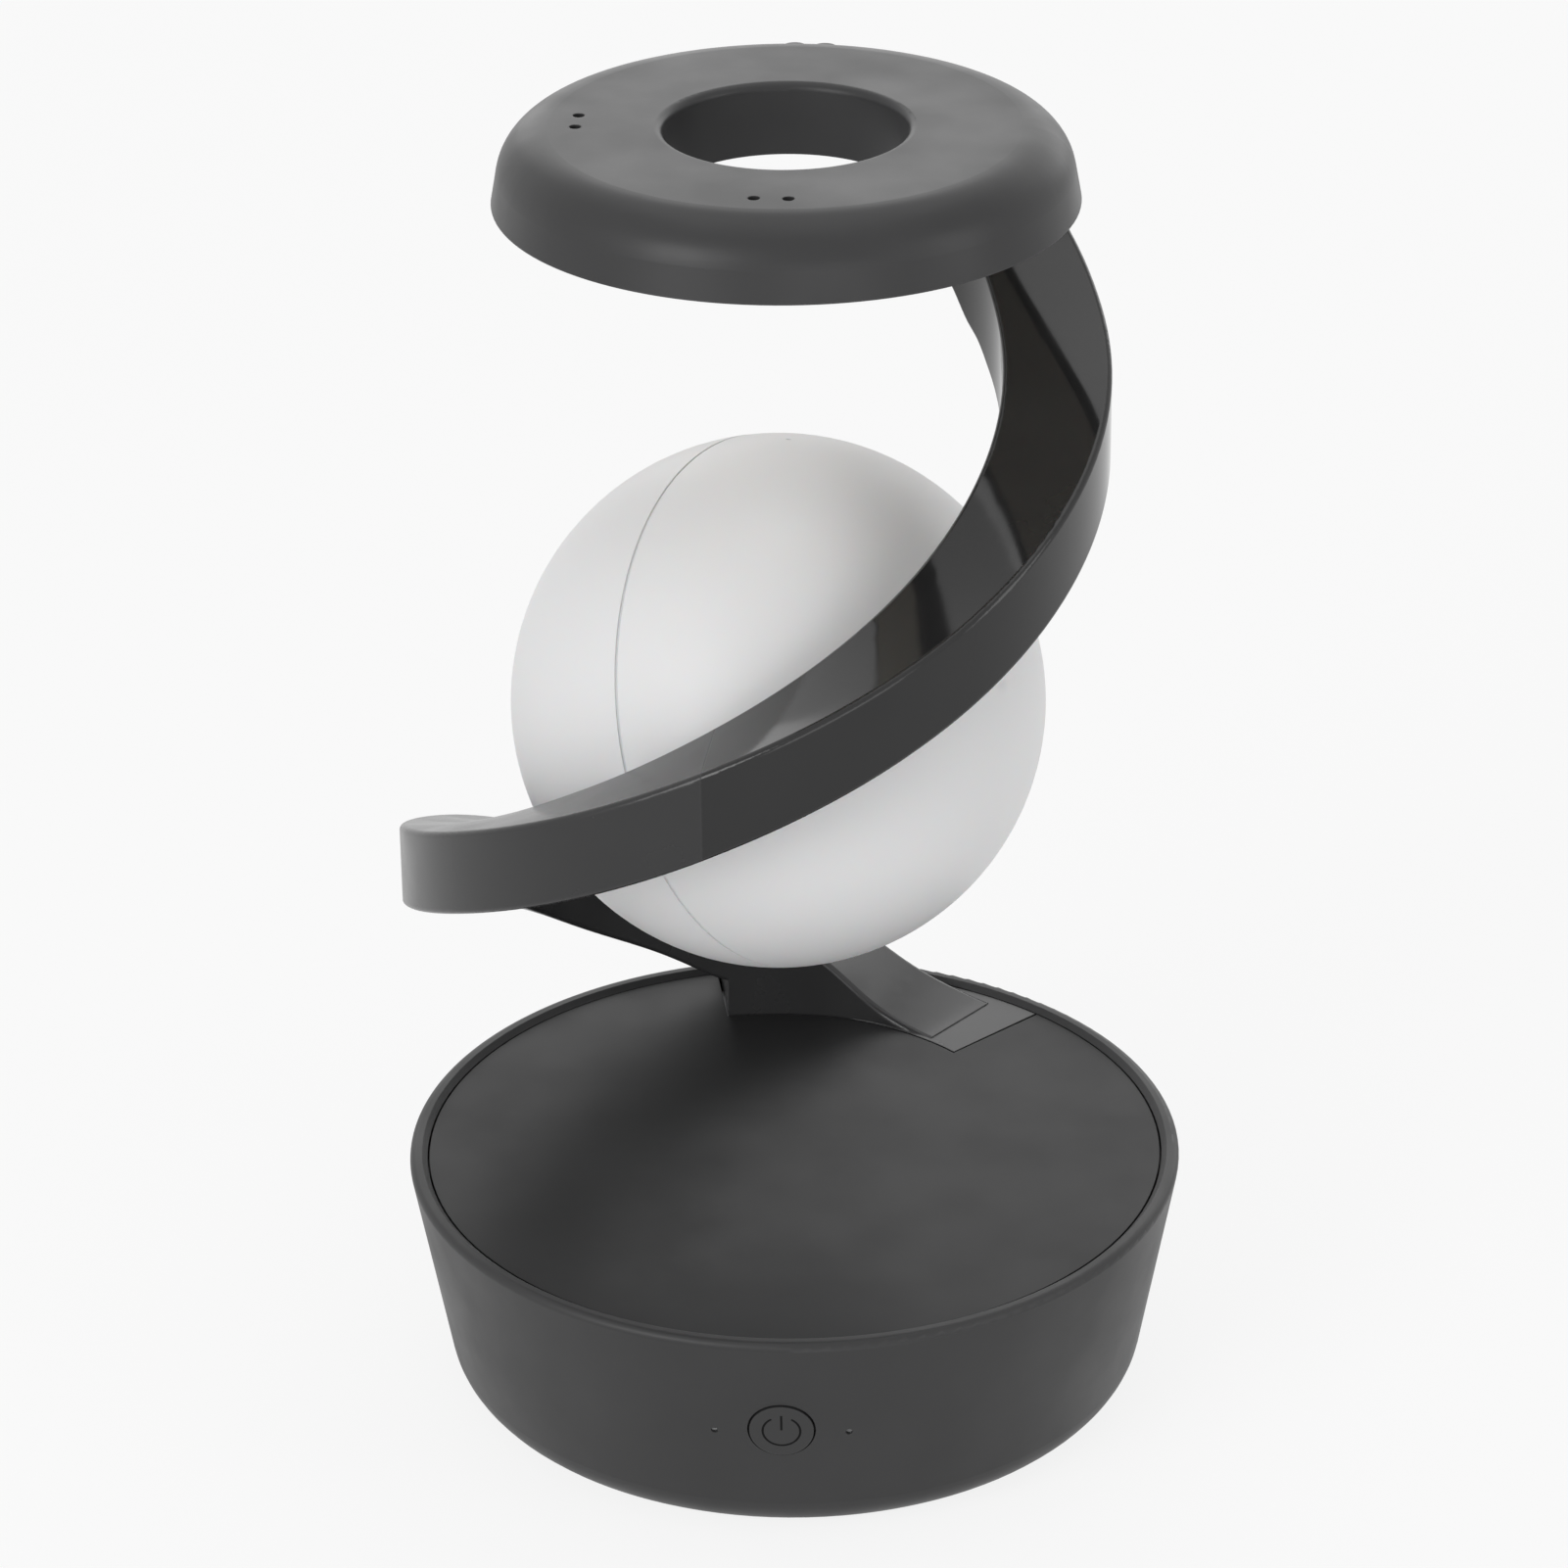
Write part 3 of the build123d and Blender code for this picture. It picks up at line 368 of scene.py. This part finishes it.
def background_rays(tree):
    """1 for the rays that see the background itself: from the camera, in gloss and through glass."""
    paths = tree.nodes.new("ShaderNodeLightPath")
    total = paths.outputs["Is Camera Ray"]
    for kind in ("Is Glossy Ray", "Is Transmission Ray"):
        node = tree.nodes.new("ShaderNodeMath")
        node.operation, node.use_clamp = "ADD", True
        tree.links.new(total, node.inputs[0])
        tree.links.new(paths.outputs[kind], node.inputs[1])
        total = node.outputs["Value"]
    return total


def floor_paper():
    """Matt pale paper that holds the shadow, lifted to white where the background shows."""
    s = Shader("floor_paper")
    color = s.ramp(s.noise(3.0), [(0.3, (0.82, 0.82, 0.82)), (0.7, (0.84, 0.84, 0.84))])
    s.link(color, s.bsdf.inputs["Base Color"])
    s.bsdf.inputs["Roughness"].default_value = 0.9
    s.bsdf.inputs["Specular IOR Level"].default_value = 0.0
    glow = s.add("ShaderNodeEmission")
    glow.inputs["Color"].default_value = WHITE
    glow.inputs["Strength"].default_value = 1.0
    share = s.add("ShaderNodeMath", operation="MULTIPLY")
    share.inputs[1].default_value = FLOOR_GLOW
    s.link(background_rays(s.tree), share.inputs[0])
    blend = s.add("ShaderNodeMixShader")
    s.link(share.outputs["Value"], blend.inputs["Fac"])
    s.link(s.bsdf.outputs["BSDF"], blend.inputs[1])
    s.link(glow.outputs["Emission"], blend.inputs[2])
    s.link(blend.outputs["Shader"], s.tree.nodes["Material Output"].inputs["Surface"])
    return s.material


def lay_floor():
    corners = [(x * FLOOR_HALF, y * FLOOR_HALF, 0) for x, y in ((-1, -1), (1, -1), (1, 1), (-1, 1))]
    mesh = bpy.data.meshes.new("floor")
    mesh.from_pydata(corners, [], [(0, 1, 2, 3)])
    mesh.materials.append(floor_paper())
    floor = bpy.data.objects.new("floor", mesh)
    bpy.context.scene.collection.objects.link(floor)
    floor.location.z = -FLOOR_DROP


def light_room():
    """White behind everything, and a dimmer even light from all round."""
    world = bpy.data.worlds.new("studio")
    bpy.context.scene.world = world
    world.use_nodes = True
    nodes, links = world.node_tree.nodes, world.node_tree.links
    room = nodes["Background"]
    room.inputs["Color"].default_value = WHITE
    room.inputs["Strength"].default_value = ROOM_STRENGTH
    white = nodes.new("ShaderNodeBackground")
    white.inputs["Color"].default_value = WHITE
    white.inputs["Strength"].default_value = 1.0
    blend = nodes.new("ShaderNodeMixShader")
    links.new(background_rays(world.node_tree), blend.inputs["Fac"])
    links.new(room.outputs["Background"], blend.inputs[1])
    links.new(white.outputs["Background"], blend.inputs[2])
    links.new(blend.outputs["Shader"], nodes["World Output"].inputs["Surface"])


def softbox(name, location, target, width, height, watts):
    light = bpy.data.lights.new(name, "AREA")
    light.shape, light.size, light.size_y, light.energy = "RECTANGLE", width, height, watts
    lamp = bpy.data.objects.new(name, light)
    bpy.context.scene.collection.objects.link(lamp)
    lamp.location = location
    lamp.rotation_euler = (Vector(target) - Vector(location)).to_track_quat("-Z", "Y").to_euler()


lay_floor()
light_room()
for box in SOFTBOXES:
    softbox(*box)
